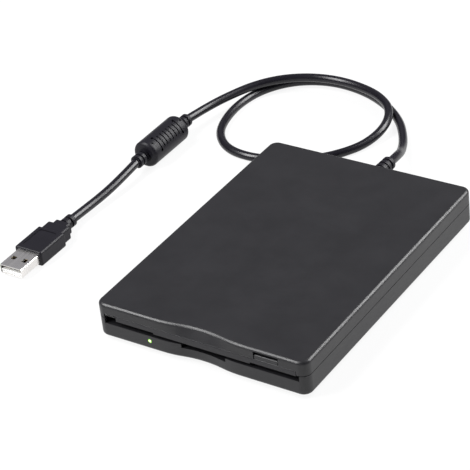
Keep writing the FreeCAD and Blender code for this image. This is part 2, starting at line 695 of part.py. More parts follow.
def make_head_carriage():
    half_bush = ROD_R + 0.6
    cross = box(-ROD_X - half_bush, ROD_X + half_bush, 38.0, CARRIAGE_Y1, CARRIAGE_Z0, CARRIAGE_Z1)
    bushes = []
    for side in (-1, 1):
        x = side * ROD_X
        bushes.append(box(x - half_bush, x + half_bush, 30.0, 46.0, CARRIAGE_Z0, CARRIAGE_Z1))
    tower = box(-6.4, 6.4, 43.5, CARRIAGE_Y1, CARRIAGE_Z1, 11.4)
    ears = [box(side * 5.9 - 0.5, side * 5.9 + 0.5, 43.5, 47.5, 11.4, ARM_AXIS_Z + 1.0) for side in (-1, 1)]
    lower_arm = box(-4.0, 4.0, HEAD_Y - 3.0, 38.0, CARRIAGE_Z0 + 0.4, HEAD_SEAT_Z)
    follower = box(6.4, SCREW_X - 1.8, 45.0, CARRIAGE_Y1, SCREW_Z - 1.2, SCREW_Z + 1.2)
    body = fused([cross, tower, lower_arm, follower] + bushes + ears)
    holes = [rod_y(side * ROD_X, ROD_Z, 20.0, 60.0, ROD_R + RUN_GAP) for side in (-1, 1)]
    holes.append(rod_x(ARM_AXIS_Y, ARM_AXIS_Z, -8, 8, ARM_PIN_R))
    return cut_all(body, holes)


def make_arm_pin():
    return rod_x(ARM_AXIS_Y, ARM_AXIS_Z, -6.4, 6.4, ARM_PIN_R)


def head_pad(z0, z1):
    return box(-HEAD_HALF_W, HEAD_HALF_W, HEAD_Y - HEAD_HALF_D, HEAD_Y + HEAD_HALF_D, z0, z1)


def make_lower_head():
    return fillet_level(head_pad(HEAD_SEAT_Z, LOWER_HEAD_TOP), LOWER_HEAD_TOP, 0.3)


def make_upper_arm():
    barrel = rod_x(ARM_AXIS_Y, ARM_AXIS_Z, -5.0, 5.0, ARM_PIN_R + 0.5)
    plate = box(-5.0, 5.0, 26.0, ARM_AXIS_Y, ARM_Z0, ARM_Z0 + ARM_T)
    nose = box(-3.0, 3.0, 19.0, 26.0, ARM_Z0, ARM_Z0 + ARM_T)
    bore = rod_x(ARM_AXIS_Y, ARM_AXIS_Z, -8, 8, ARM_PIN_R + RUN_GAP)
    return fused([barrel, plate, nose]).cut(bore)


def make_upper_head():
    return fillet_level(head_pad(UPPER_HEAD_Z0, ARM_Z0), UPPER_HEAD_Z0, 0.2)


def make_arm_spring():
    return box(-1.5, 1.5, 30.0, 44.0, ARM_Z0 + ARM_T, ARM_Z0 + ARM_T + 0.2)


def make_cartridge_holder():
    # A tray of thin sheet, open to the front, whose turned-in flanges carry the disk.
    inner = DISK_HALF_W + 0.2
    outer = inner + SHEET
    under = HOLDER_TOP_Z - SHEET
    solids = [box(-outer, outer, HOLDER_Y0, HOLDER_Y1, under, HOLDER_TOP_Z)]
    for side in (-1, 1):
        x0 = min(side * inner, side * outer)
        solids.append(box(x0, x0 + SHEET, HOLDER_Y0, HOLDER_SHOULDER_Y, HOLDER_FLANGE_Z, under))
        flange_x0 = min(side * FLANGE_X, side * inner)
        solids.append(box(flange_x0, flange_x0 + inner - FLANGE_X, HOLDER_Y0, HOLDER_SHOULDER_Y,
                          HOLDER_FLANGE_Z, HOLDER_FLANGE_Z + SHEET))
        solids.append(box(side * 33 - 3, side * 33 + 3, HOLDER_Y1, HOLDER_Y1 + SHEET, 9.0, HOLDER_TOP_Z))
        for y in GUIDE_PIN_Y:
            pin_x0 = min(side * outer, side * GUIDE_PIN_X1)
            solids.append(rod_x(y, GUIDE_PIN_Z, pin_x0, pin_x0 + GUIDE_PIN_X1 - outer, GUIDE_PIN_R))
    solids.append(post(LEVER_X, LEVER_Y, HOLDER_TOP_Z, HOLDER_TOP_Z + 0.7, LEVER_PIVOT_R))
    z0 = under - 1
    z1 = HOLDER_TOP_Z + 0.25
    head_slot = box(-9.0, 9.0, SPINDLE_Y, HOLDER_Y1 + 2, z0, z1)
    corners = [box(side * 45 - 3, side * 45 + 3, HOLDER_SHOULDER_Y, HOLDER_Y1 + 2, 8.0, z1) for side in (-1, 1)]
    hub_hole = post(0, SPINDLE_Y, z0, z1, 14.0)
    return cut_all(fused(solids), [head_slot, hub_hole, lever_arc()] + corners)


def lever_arc():
    # The curved slot that the shutter lever's pin sweeps.
    swing = LEVER_SWING_DEG + 12
    outer = Part.makeCylinder(LEVER_LEN + 1.4, 1.0, vec(LEVER_X, LEVER_Y, 12.0), Z_AXIS, swing)
    inner = Part.makeCylinder(LEVER_LEN - 1.4, 2.0, vec(LEVER_X, LEVER_Y, 11.5), Z_AXIS, 360)
    arc = outer.cut(inner)
    arc.rotate(vec(LEVER_X, LEVER_Y, 0), Z_AXIS, LEVER_REST_DEG - 6)
    return arc


def make_shutter_lever():
    tip_x = LEVER_X + LEVER_LEN
    top = LEVER_Z0 + LEVER_T
    hub = post(LEVER_X, LEVER_Y, LEVER_Z0, top, 2 * LEVER_PIVOT_R)
    arm = box(LEVER_X, tip_x, LEVER_Y - LEVER_HALF_W, LEVER_Y + LEVER_HALF_W, LEVER_Z0, top)
    tip = post(tip_x, LEVER_Y, LEVER_Z0, top, LEVER_HALF_W)
    pin = post(tip_x, LEVER_Y, LEVER_PIN_Z0, LEVER_Z0, LEVER_HALF_W / 2)
    bore = post(LEVER_X, LEVER_Y, LEVER_PIN_Z0, top + 1, LEVER_PIVOT_R + RUN_GAP)
    lever = fused([hub, arm, tip, pin]).cut(bore)
    lever.rotate(vec(LEVER_X, LEVER_Y, 0), Z_AXIS, LEVER_REST_DEG)
    return lever


def make_lever_spring():
    z0 = LEVER_Z0 + LEVER_T
    coil = post(LEVER_X, LEVER_Y, z0, z0 + 0.25, LEVER_PIVOT_R + 1.3)
    return coil.cut(post(LEVER_X, LEVER_Y, z0 - 1, z0 + 1, LEVER_PIVOT_R + 0.1))


def make_controller_board():
    return box(-42.0, -14.0, 30.0, 54.0, 4.4, 5.2)


def make_controller_chips():
    chips = [box(-38.0, -28.0, 35.0, 45.0, 5.2, 6.6), box(-24.0, -17.0, 36.0, 43.0, 5.2, 6.4)]
    chips.append(box(-24.0, -19.0, 45.5, 48.5, 5.2, 6.2))
    return chips


def ribbon_strip():
    return box(-37.0, -19.0, 52.0, 60.4, 6.0, 6.2)


def make_ribbon_connectors():
    front = box(-39.0, -17.0, 50.0, 54.0, 5.2, 6.9)
    rear = box(-39.0, -17.0, 58.4, 61.4, BOARD_Z + BOARD_T, 6.9)
    return [front.cut(ribbon_strip()), rear.cut(ribbon_strip())]


def make_usb_board():
    return rounded_slab(-40.0, 24.0, 57.5, 67.0, 1.0, BOARD_Z, BOARD_Z + BOARD_T)


def make_usb_chips():
    return [box(-14.0, -6.0, 58.4, 66.4, BOARD_TOP, BOARD_TOP + CHIP_H), box(21.0, 23.4, 60.0, 64.6, BOARD_TOP, BOARD_TOP + CHIP_H)]


def make_crystal():
    return fillet_level(rounded_slab(9.0, 19.6, 59.6, 64.2, 2.2, BOARD_TOP, BOARD_TOP + CRYSTAL_H), BOARD_TOP + CRYSTAL_H, 0.4)


def make_wire_connector():
    return box(-4.0, 5.2, 59.6, 65.6, BOARD_TOP, BOARD_TOP + CONNECTOR_H)


def make_cable_leads():
    # Four leads bend down from the jacket's cut end into the connector.
    leads = []
    radius = 0.45
    for i in range(4):
        x = EXIT_X + (i - 1.5) * 1.0
        y = 62.6
        top = rod_y(x, EXIT_Z, y, 66.2, radius)
        knee = Part.makeSphere(radius, vec(x, y, EXIT_Z))
        drop = post(x, y, BOARD_Z + BOARD_T + 2.8 + MECHANISM_LIFT, EXIT_Z, radius)
        leads.append(fused([top, knee, drop]))
    return leads


def make_cable_inner_end():
    return rod_y(EXIT_X, EXIT_Z, 66.2, RELIEF_END_Y, CORD_R)


def make_strain_relief():
    flange_in = rod_y(EXIT_X, EXIT_Z, 67.4, REAR_Y - WALL, 4.2)
    neck = rod_y(EXIT_X, EXIT_Z, REAR_Y - WALL, REAR_Y, 3.0)
    collar = rod_y(EXIT_X, EXIT_Z, REAR_Y, REAR_Y + 2.6, 3.9)
    taper = cone_y(EXIT_X, EXIT_Z, REAR_Y + 2.6, RELIEF_END_Y, 3.3, 2.75)
    ribs = []
    for i in range(4):
        y = REAR_Y + 4.1 + i * 3.2
        ribs.append(rod_y(EXIT_X, EXIT_Z, y, y + 1.7, 3.6 - i * 0.1))
    bore = rod_y(EXIT_X, EXIT_Z, 60.0, 95.0, CORD_R)
    return fused([flange_in, neck, collar, taper] + ribs).cut(bore)


def make_led_lens():
    return rod_y(LAMP_X, LAMP_Z, FRONT_Y, -66.4, LAMP_R)


def make_led_lamp():
    return box(LAMP_X - 1.5, LAMP_X + 1.5, -66.4, -64.4, 4.2, 6.8)


def make_switch_boards():
    return [box(-46.0, -22.0, -65.4, -56.0, FRAME_FLOOR, 4.2), box(33.0, 46.0, -65.4, -56.0, FRAME_FLOOR, 4.2)]


def make_switch_bodies():
    bodies = []
    for side in (-1, 1):
        body = box(side * 39 - 1.8, side * 39 + 1.8, -64.0, -60.0, 4.2, 6.0)
        bodies.append(body.cut(post(side * 39, -62.0, 4.4, 7.0, 0.8)))
    return bodies


def make_plunger(side):
    return post(side * 39, -62.0, 5.2, 7.6, 0.7)


def relief_rings(x, z, y0, y1, radius, count):
    # A short flexible sleeve with square ribs.
    pitch = (y1 - y0) / count
    core = rod_y(x, z, y0, y1, radius - 0.7)
    rings = [rod_y(x, z, y0 + i * pitch + 0.25 * pitch, y0 + i * pitch + 0.85 * pitch, radius) for i in range(count)]
    return fused([core] + rings)


def make_ferrite_casing():
    barrel = rod_y(CHOKE_X, CHOKE_Z, CHOKE_Y0, CHOKE_Y1, CHOKE_R)
    barrel = barrel.makeFillet(1.8, [e for e in barrel.Edges if e.Closed])
    front = relief_rings(CHOKE_X, CHOKE_Z, CHOKE_RELIEF_Y0, CHOKE_Y0 + 0.5, 3.2, 3)
    rear = relief_rings(CHOKE_X, CHOKE_Z, CHOKE_Y1 - 0.5, CHOKE_RELIEF_Y1, 3.2, 3)
    body = fused([barrel, front, rear])
    core = rod_y(CHOKE_X, CHOKE_Z, CHOKE_Y0 + CORE_END, CHOKE_Y1 - CORE_END, CORE_R)
    bore = rod_y(CHOKE_X, CHOKE_Z, 40.0, 95.0, CORD_R)
    return cut_all(body, [core, bore] + choke_grooves())


def choke_sector(y0, y1, middle_deg, half_width, depth):
    # A shallow pocket in the barrel, centred on an angle up from +X.
    ring = tube_y(CHOKE_X, CHOKE_Z, y0, y1, CHOKE_R + 1, CHOKE_R - depth)
    sector = box(0, CHOKE_R + 2, y0 - 1, y1 + 1, -half_width, half_width)
    sector.rotate(vec(0, 0, 0), Y_AXIS, -middle_deg)
    sector.translate(vec(CHOKE_X, 0, CHOKE_Z))
    return ring.common(sector)


def choke_grooves():
    # A window of grooves on the side that faces up and right, with a square at each corner and a dot at each end.
    pockets = []
    first = CHOKE_Y0 + 5.6
    last = first + (GROOVES - 1) * GROOVE_PITCH
    for i in range(GROOVES):
        y = first + i * GROOVE_PITCH
        pockets.append(choke_sector(y, y + 0.7, GROOVE_MIDDLE_DEG, 3.1, 0.4))
    for y in (first - 0.5, last - 0.1):
        for side in (-1, 1):
            pockets.append(choke_sector(y, y + 1.3, GROOVE_MIDDLE_DEG + side * 34, 0.6, 0.9))
    for y in (first - 3.0, last + 3.0):
        pockets.append(choke_sector(y, y + 0.9, GROOVE_MIDDLE_DEG + 14, 0.45, 0.7))
    return pockets


def make_ferrite_core():
    return tube_y(CHOKE_X, CHOKE_Z, CHOKE_Y0 + CORE_END, CHOKE_Y1 - CORE_END, CORE_R, CORD_R)


def make_cord_in_ferrite():
    return rod_y(CHOKE_X, CHOKE_Z, CHOKE_RELIEF_Y0, CHOKE_RELIEF_Y1, CORD_R)


def make_plug_overmold():
    body = rounded_bar_y(PLUG_X, PLUG_Z, 14.8, 7.4, 1.3, PLUG_FACE_Y, PLUG_BODY_Y1)
    front = [e for e in body.Edges if abs(e.BoundBox.YMax - PLUG_FACE_Y) < 0.01]
    body = body.makeFillet(0.8, front)
    back = [e for e in body.Edges if abs(e.BoundBox.YMin - PLUG_BODY_Y1) < 0.01]
    body = body.makeFillet(0.6, back)
    shoulder = rounded_bar_y(PLUG_X, PLUG_Z, 12.2, 6.8, 1.3, PLUG_BODY_Y1 - 2.0, PLUG_SHOULDER_Y1)
    back = [e for e in shoulder.Edges if abs(e.BoundBox.YMin - PLUG_SHOULDER_Y1) < 0.01]
    shoulder = shoulder.makeFillet(0.6, back)
    neck = rounded_bar_y(PLUG_X, PLUG_Z, 8.6, 6.0, 1.6, PLUG_SHOULDER_Y1 - 2.0, PLUG_NECK_Y1)
    relief = relief_rings(PLUG_X, PLUG_Z, PLUG_NECK_Y1, PLUG_END_Y, 3.0, 2)
    panel_top = PLUG_Z + 3.7
    panel = rounded_slab(PLUG_X - 4.8, PLUG_X + 4.8, -36.0, -22.6, 1.2, panel_top - 0.3, panel_top + 1.0)
    return fused([body, shoulder, neck, relief]).cut(panel)


def make_plug_shell():
    y0 = PLUG_FACE_Y - SHELL_LEN
    outer = rounded_bar_y(PLUG_X, PLUG_Z, SHELL_W, SHELL_H, 0.5, y0, PLUG_FACE_Y)
    inner = rounded_bar_y(PLUG_X, PLUG_Z, SHELL_W - 2 * SHELL_T, SHELL_H - 2 * SHELL_T, 0.3, y0 - 1, PLUG_FACE_Y + 1)
    holes = []
    for side in (-1, 1):
        x = PLUG_X + side * 3.0
        holes.append(box(x - 1.2, x + 1.2, -46.0, -43.5, PLUG_Z - 4, PLUG_Z + 4))
    return cut_all(outer, [inner] + holes)


def make_plug_insulator():
    # The contact tongue, in the lower half of the shell.
    floor_z = PLUG_Z - SHELL_H / 2 + SHELL_T
    mouth_y = PLUG_FACE_Y - SHELL_LEN
    return box(PLUG_X - TONGUE_HALF_W, PLUG_X + TONGUE_HALF_W, mouth_y + 0.4, PLUG_FACE_Y, floor_z, TONGUE_TOP_Z)


def make_plug_contacts():
    # The outer pair is longer, as on every plug of this kind.
    contacts = []
    mouth_y = PLUG_FACE_Y - SHELL_LEN
    for offset, back in ((-3.5, 2.2), (-1.0, 3.2), (1.0, 3.2), (3.5, 2.2)):
        x = PLUG_X + offset
        contacts.append(box(x - 0.5, x + 0.5, mouth_y + back, PLUG_FACE_Y, TONGUE_TOP_Z, TONGUE_TOP_Z + 0.2))
    return contacts


def cord_path(points):
    # Straight runs joined by tangent arcs, each arc as large as its two runs allow.
    edges = []
    radii = []
    length = 0
    last = vec(*points[0])
    for before, here, after in zip(points, points[1:], points[2:]):
        a = vec(*before)
        b = vec(*here)
        c = vec(*after)
        to_a = (a - b).normalize()
        to_c = (c - b).normalize()
        turn = math.pi - to_a.getAngle(to_c)
        reach = ARC_SHARE * min((a - b).Length, (c - b).Length)
        radius = reach / math.tan(turn / 2)
        start = b + to_a * reach
        end = b + to_c * reach
        inward = (to_a + to_c).normalize()
        middle = b + inward * (radius / math.cos(turn / 2) - radius)
        edges.append(Part.LineSegment(last, start).toShape())
        edges.append(Part.Arc(start, middle, end).toShape())
        length += (start - last).Length + radius * turn
        radii.append(round(radius, 1))
        last = end
    finish = vec(*points[-1])
    edges.append(Part.LineSegment(last, finish).toShape())
    length += (finish - last).Length
    return Part.Wire(edges), radii, length


def make_cord(name, points):
    path, radii, length = cord_path(points)
    start = vec(*points[0])
    heading = (vec(*points[1]) - start).normalize()
    circle = Part.Wire(Part.makeCircle(CORD_R, start, heading))
    tube = Part.Solid(path.makePipeShell([circle], True, False))
    if tube.Volume < 0:
        tube.reverse()
    expected = math.pi * CORD_R ** 2 * length
    print(name, "radii", radii, "least allowed", LEAST_RADIUS)
    print(name, "length", round(length, 1), "volume over section times length", round(tube.Volume / expected, 4))
    return tube


def main():
    os.makedirs("parts", exist_ok=True)
    save("bottom_cover", make_bottom_cover())
    save("top_cover", make_top_cover())
    save("case_screws", make_case_screws())
    save("frame_screws", make_frame_screws())
    save("rubber_feet", make_rubber_feet())
    save("slot_door", make_slot_door())
    save("door_spring", make_door_spring())
    save("eject_button", make_eject_button())
    save("slide_plate", lifted(make_slide_plate()))
    save("slide_springs", lifted(make_slide_springs()))
    save("led_lens", make_led_lens())
    save("led_lamp", lifted(make_led_lamp()))
    save("chassis_frame", lifted(make_chassis_frame()))
    save("top_shield", lifted(make_top_shield()))
    save("guide_rods", lifted(make_guide_rods()))
    save("motor_board", lifted(make_motor_board()))
    save("spindle_bearing", lifted(make_spindle_bearing()))
    save("stator_core", lifted(make_stator_core()))
    save("stator_coils", lifted(make_stator_coils()))
    save("spindle_rotor", lifted(make_spindle_rotor()))
    save("ring_magnet", lifted(make_ring_magnet()))
    save("spindle_hub", lifted(make_spindle_hub()))
    save("drive_pin", lifted(make_drive_pin()))
    save("stepper_motor", lifted(make_stepper_motor()))
    save("lead_screw", lifted(make_lead_screw()))
    save("screw_bracket", lifted(make_screw_bracket()))
    save("head_carriage", lifted(make_head_carriage()))
    save("arm_pin", lifted(make_arm_pin()))
    save("lower_head", lifted(make_lower_head()))
    save("upper_arm", lifted(make_upper_arm()))
    save("upper_head", lifted(make_upper_head()))
    save("arm_spring", lifted(make_arm_spring()))
    save("cartridge_holder", lifted(make_cartridge_holder()))
    save("shutter_lever", lifted(make_shutter_lever()))
    save("lever_spring", lifted(make_lever_spring()))
    save("controller_board", lifted(make_controller_board()))
    save("controller_chips", lifted(make_controller_chips()))
    save("ribbon_connectors", lifted(make_ribbon_connectors()))
    save("flat_ribbon", lifted(ribbon_strip()))
    save("usb_board", lifted(make_usb_board()))
    save("usb_chips", lifted(make_usb_chips()))
    save("crystal", lifted(make_crystal()))
    save("wire_connector", lifted(make_wire_connector()))
    save("cable_leads", make_cable_leads())
    save("cable_inner_end", make_cable_inner_end())
    save("switch_boards", lifted(make_switch_boards()))
    save("switch_bodies", lifted(make_switch_bodies()))
    save("protect_plunger", lifted(make_plunger(-1)))
    save("density_plunger", lifted(make_plunger(1)))
    save("strain_relief", make_strain_relief())
    save("cord_rear", make_cord("cord_rear", REAR_ROUTE))
    save("ferrite_casing", make_ferrite_casing())
    save("ferrite_core", make_ferrite_core())
    save("cord_in_ferrite", make_cord_in_ferrite())
    save("cord_front", make_cord("cord_front", FRONT_ROUTE))
    save("plug_overmold", make_plug_overmold())
    save("plug_shell", make_plug_shell())
    save("plug_insulator", make_plug_insulator())
    save("plug_contacts", make_plug_contacts())


main()
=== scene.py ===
import bpy
import json
import math
from mathutils import Matrix, Vector


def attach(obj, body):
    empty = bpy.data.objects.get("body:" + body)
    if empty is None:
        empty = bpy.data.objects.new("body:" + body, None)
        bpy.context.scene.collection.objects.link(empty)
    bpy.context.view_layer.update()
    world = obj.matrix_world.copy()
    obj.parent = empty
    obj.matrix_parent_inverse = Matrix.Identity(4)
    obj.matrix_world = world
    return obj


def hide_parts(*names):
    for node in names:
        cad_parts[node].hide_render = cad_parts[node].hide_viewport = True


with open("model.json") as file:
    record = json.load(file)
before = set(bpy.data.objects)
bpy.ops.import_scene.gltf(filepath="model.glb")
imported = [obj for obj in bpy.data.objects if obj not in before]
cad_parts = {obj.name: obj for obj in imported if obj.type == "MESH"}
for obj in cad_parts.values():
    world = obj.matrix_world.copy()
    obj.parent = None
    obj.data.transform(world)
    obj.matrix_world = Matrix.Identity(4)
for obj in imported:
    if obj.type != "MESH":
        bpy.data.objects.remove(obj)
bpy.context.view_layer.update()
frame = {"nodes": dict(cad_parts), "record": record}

# All sizes are in metres. The case stands on the table with its slot towards -Y.
# The cable lies behind it and to its left.
MM = 0.001

# Photograph's viewpoint
VIEW_TURN = math.radians(36.396)
VIEW_RISE = math.radians(33.021)
VIEW_ROLL = math.radians(-6.826)
VIEW_DISTANCE = 0.90765
VIEW_TARGET = Vector((-0.031909, 0.006332, 0.0097))
FOCAL_PX = 2079.0
PHOTO_PX = 470.0
SENSOR_MM = 36.0
NEAREST_SEEN = 0.01
FARTHEST_SEEN = 20

# Cable
CORD_DIAMETER = 4.2 * MM
REAR_EXIT = (0.0006, 0.0852, 0.0094)
CHOKE_X = -0.1111
CHOKE_Z = 0.0066
CHOKE_REAR_Y = 0.0864
CHOKE_FRONT_Y = 0.0428
PLUG_X = -0.113
PLUG_Z = 0.0037
PLUG_END_Y = -0.0058
REAR_ROUTE = [
    REAR_EXIT,
    (-0.0002, 0.0948, 0.0080),
    (-0.0044, 0.1066, 0.0033),
    (-0.0103, 0.1188, 0.0021),
    (-0.0200, 0.1324, 0.0021),
    (-0.0350, 0.1440, 0.0021),
    (-0.0523, 0.1510, 0.0021),
    (-0.0705, 0.1522, 0.0021),
    (-0.0865, 0.1456, 0.0021),
    (-0.0968, 0.1326, 0.0021),
    (-0.1004, 0.1170, 0.0021),
    (-0.0989, 0.1010, 0.0021),
    (-0.0938, 0.0870, 0.0021),
    (-0.0826, 0.0768, 0.0021),
    (-0.0676, 0.0746, 0.0021),
    (-0.0532, 0.0788, 0.0021),
    (-0.0404, 0.0846, 0.0021),
    (-0.0310, 0.0938, 0.0021),
    (-0.0238, 0.1064, 0.0022),
    (-0.0210, 0.1204, 0.0043),
    (-0.0254, 0.1338, 0.0059),
    (-0.0364, 0.1428, 0.0061),
    (-0.0500, 0.1475, 0.0060),
    (-0.0642, 0.1489, 0.0060),
    (-0.0780, 0.1459, 0.0061),
    (-0.0898, 0.1384, 0.0065),
    (-0.0986, 0.1274, 0.0067),
    (-0.1046, 0.1142, 0.0065),
    (-0.1090, 0.1004, 0.0063),
    (CHOKE_X, CHOKE_REAR_Y, CHOKE_Z),
]
FRONT_ROUTE = [
    (CHOKE_X, CHOKE_FRONT_Y, CHOKE_Z),
    (-0.1110, 0.0314, 0.0054),
    (-0.1114, 0.0190, 0.0042),
    (-0.1125, 0.0066, 0.0035),
    (PLUG_X, PLUG_END_Y, PLUG_Z),
]

CORD_SECTION_STEPS = 7
CORD_ROUTE_STEPS = 10

# Lamp window
LAMP_X = -0.0247
LAMP_Z = 0.0062
LAMP_R = 1.0 * MM

# Springs
DOOR_COIL_R = 0.5 * MM
DOOR_WIRE_R = 0.1 * MM
DOOR_COIL_TURNS = 9
SLIDE_COIL_R = 0.9 * MM
SLIDE_WIRE_R = 0.2 * MM
SLIDE_COIL_TURNS = 22
WIRE_SIDES = 10
COIL_STEPS = 28
SMOOTH_UP_TO = math.radians(35)
DOOR_AXIS_Y = -0.07005
DOOR_AXIS_Z = 0.01278
DOOR_SPRING_X0 = -0.0466
DOOR_SPRING_X1 = -0.0416
SLIDE_SPRING_X = 0.0446
SLIDE_SPRING_Z = 0.0130
SLIDE_SPRING_Y0 = 0.022
SLIDE_SPRING_Y1 = 0.0445

# Floor, with the share of plain white mixed into its lit surface
FLOOR_SIZE = 6
FLOOR_GREY = (0.86, 0.86, 0.86, 1)
FLOOR_ROUGHNESS = 0.9
FLOOR_SHEEN = 0.1
FLOOR_WHITE_SHARE = 0.88

# Sky: a faint cool light on the object, and plain white behind it
SKY_COLOUR = (0.86, 0.85, 1, 1)
SKY_STRENGTH = 0.14
WHITE = (1, 1, 1, 1)

# Lamps: name, place, direction of the length, width and length, watts. The two rim lamps are long and
# draw the bright lines along the front and right top edges; the weak ones fill in.
LAMPS = (
    ("front_rim", (-0.55, -0.46, 0.84), (0, 0.87, 0.48), (0.3, 0.95), 19),
    ("right_rim", (0.50, 0.74, 0.64), (-0.79, 0, 0.61), (0.3, 0.95), 17),
    ("rear_left", (-0.75, 0.95, 0.8), (0, 0, 1), (0.9, 0.9), 0.5),
    ("front_fill", (0.5, -1.2, 0.35), (0, 0, 1), (0.9, 0.5), 0.8),
)

# Share of the noise's range over which colour and gloss change
COLOUR_FROM = 0.35
COLOUR_TO = 0.65
GLOSS_FROM = 0.3
GLOSS_TO = 0.7
NOISE_ROUGHNESS = 0.6

# Moulded finishes. Noise is in cells per metre.
CLOUD_CELLS = 55
CLOUD_DETAIL = 4
CLOUD_DARK = 0.9
CLOUD_LIGHT = 1.1
CLOUD_GLOSS = 0.04
GRAIN_DETAIL = 3

# Metal finishes
LAY_CELLS = 900
LAY_DETAIL = 4
LAY_GLOSS = 0.07
STAIN_CELLS = 70
STAIN_DETAIL = 5
STAIN_DARK = 0.88
STAIN_LIGHT = 1.06

# Lamp window's colours, from its middle to its rim: a painted glow in the middle, painted shade at the
# rim
LENS_CELLS = 1500
LENS_DETAIL = 2
LENS_UNEVENNESS = 0.25
LENS_LIT = (0.42, (0.86, 1.0, 0.6, 1))
LENS_BETWEEN = (0.78, (0.32, 0.62, 0.08, 1))
LENS_RIM = (1.0, (0.03, 0.13, 0.015, 1))
# Strength of the lamp window's painted glow
LENS_GLOW = 0.75

# Circuit boards
TRACK_CELLS = 260
TRACK_WIDTH = 0.09
TRACK_SPACING = 1.7
TRACK_HEIGHT = 3e-5
MASK_DARK = (0.018, 0.12, 0.045, 1)
MASK_LIGHT = (0.022, 0.14, 0.055, 1)
TRACK_GREEN = (0.05, 0.24, 0.09, 1)
BOARD_CELLS = 400
BOARD_DETAIL = 3

SLOT_OF = {row["node"]: row["material_slot"] for row in frame["record"]["subparts"]}


def aim_camera():
    data = bpy.data.cameras.new("photo_camera")
    camera = bpy.data.objects.new("photo_camera", data)
    bpy.context.scene.collection.objects.link(camera)
    data.sensor_width = SENSOR_MM
    data.lens = FOCAL_PX / PHOTO_PX * SENSOR_MM
    data.clip_start = NEAREST_SEEN
    data.clip_end = FARTHEST_SEEN
    level = math.cos(VIEW_RISE)
    back = Vector((math.sin(VIEW_TURN) * level, -math.cos(VIEW_TURN) * level, math.sin(VIEW_RISE)))
    right = Vector((math.cos(VIEW_TURN), math.sin(VIEW_TURN), 0))
    up = back.cross(right)
    across = right * math.cos(VIEW_ROLL) + up * math.sin(VIEW_ROLL)
    upward = up * math.cos(VIEW_ROLL) - right * math.sin(VIEW_ROLL)
    place = VIEW_TARGET + back * VIEW_DISTANCE
    turn = Matrix((across, upward, back)).transposed().to_4x4()
    camera.matrix_world = Matrix.Translation(place) @ turn
    bpy.context.scene.camera = camera


def lay_cord(name, route, node):
    data = bpy.data.curves.new(name, "CURVE")
    data.dimensions = "3D"
    # A section of one metre, brought down to the cable's radius at each point, keeps the curve's box
    # close to the cable.
    data.bevel_depth = 1.0
    data.bevel_resolution = CORD_SECTION_STEPS
    data.resolution_u = CORD_ROUTE_STEPS
    data.use_fill_caps = True
    spline = data.splines.new("NURBS")
    spline.points.add(len(route) - 1)
    for point, place in zip(spline.points, route):
        point.co = (*place, 1)
        point.radius = CORD_DIAMETER / 2
    spline.order_u = 3
    spline.use_endpoint_u = True
    cord = bpy.data.objects.new(name, data)
    bpy.context.scene.collection.objects.link(cord)
    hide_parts(node)
    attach(cord, "housing")
    return cord


# Procedural finishes

def new_finish(name):
    material = bpy.data.materials.new(name)
    material.use_nodes = True
    return material


def shader_of(material):
    return material.node_tree.nodes["Principled BSDF"]


def object_noise(material, scale, detail, stretch=(1, 1, 1)):
    # Noise fixed to the object, in cells per metre.
    nodes = material.node_tree.nodes
    links = material.node_tree.links
    place = nodes.new("ShaderNodeTexCoord")
    mapping = nodes.new("ShaderNodeMapping")
    mapping.inputs["Scale"].default_value = stretch
    noise = nodes.new("ShaderNodeTexNoise")
    noise.inputs["Scale"].default_value = scale
    noise.inputs["Detail"].default_value = detail
    noise.inputs["Roughness"].default_value = NOISE_ROUGHNESS
    links.new(place.outputs["Object"], mapping.inputs["Vector"])
    links.new(mapping.outputs["Vector"], noise.inputs["Vector"])
    return noise


def vary_colour(material, noise, dark, light):
    ramp = material.node_tree.nodes.new("ShaderNodeValToRGB")
    first, last = ramp.color_ramp.elements
    first.position = COLOUR_FROM
    first.color = (*dark, 1)
    last.position = COLOUR_TO
    last.color = (*light, 1)
    links = material.node_tree.links
    links.new(noise.outputs["Fac"], ramp.inputs["Fac"])
    links.new(ramp.outputs["Color"], shader_of(material).inputs["Base Color"])


def vary_roughness(material, noise, low, high):
    reach = material.node_tree.nodes.new("ShaderNodeMapRange")
    reach.inputs["From Min"].default_value = GLOSS_FROM
    reach.inputs["From Max"].default_value = GLOSS_TO
    reach.inputs["To Min"].default_value = low
    reach.inputs["To Max"].default_value = high
    links = material.node_tree.links
    links.new(noise.outputs["Fac"], reach.inputs["Value"])
    links.new(reach.outputs["Result"], shader_of(material).inputs["Roughness"])


def raise_grain(material, height, depth):
    bump = material.node_tree.nodes.new("ShaderNodeBump")
    bump.inputs["Distance"].default_value = depth
    links = material.node_tree.links
    links.new(height.outputs["Fac"], bump.inputs["Height"])
    links.new(bump.outputs["Normal"], shader_of(material).inputs["Normal"])


def shade(colour, share):
    return tuple(min(1.0, part * share) for part in colour)


def moulded(name, colour, rough, grain, depth, level=0.5):
    # Moulded plastic or rubber: slow cloudiness in colour and gloss, and a fine eroded grain.
    material = new_finish(name)
    cloud = object_noise(material, CLOUD_CELLS, CLOUD_DETAIL)
    fine = object_noise(material, grain, GRAIN_DETAIL)
    vary_colour(material, cloud, shade(colour, CLOUD_DARK), shade(colour, CLOUD_LIGHT))
    vary_roughness(material, cloud, rough - CLOUD_GLOSS, rough + CLOUD_GLOSS)
    raise_grain(material, fine, depth)
    shader_of(material).inputs["Specular IOR Level"].default_value = level
    return material


def sheet_metal(name, colour, rough, stretch, depth=2e-6):
    # Rolled, ground, cast or plated metal: slow staining, and a faint lay where the noise is stretched.
    material = new_finish(name)
    lay = object_noise(material, LAY_CELLS, LAY_DETAIL, stretch)
    stain = object_noise(material, STAIN_CELLS, STAIN_DETAIL)
    vary_colour(material, stain, shade(colour, STAIN_DARK), shade(colour, STAIN_LIGHT))
    vary_roughness(material, lay, rough - LAY_GLOSS, rough + LAY_GLOSS)
    raise_grain(material, lay, depth)
    shader_of(material).inputs["Metallic"].default_value = 1.0
    return material


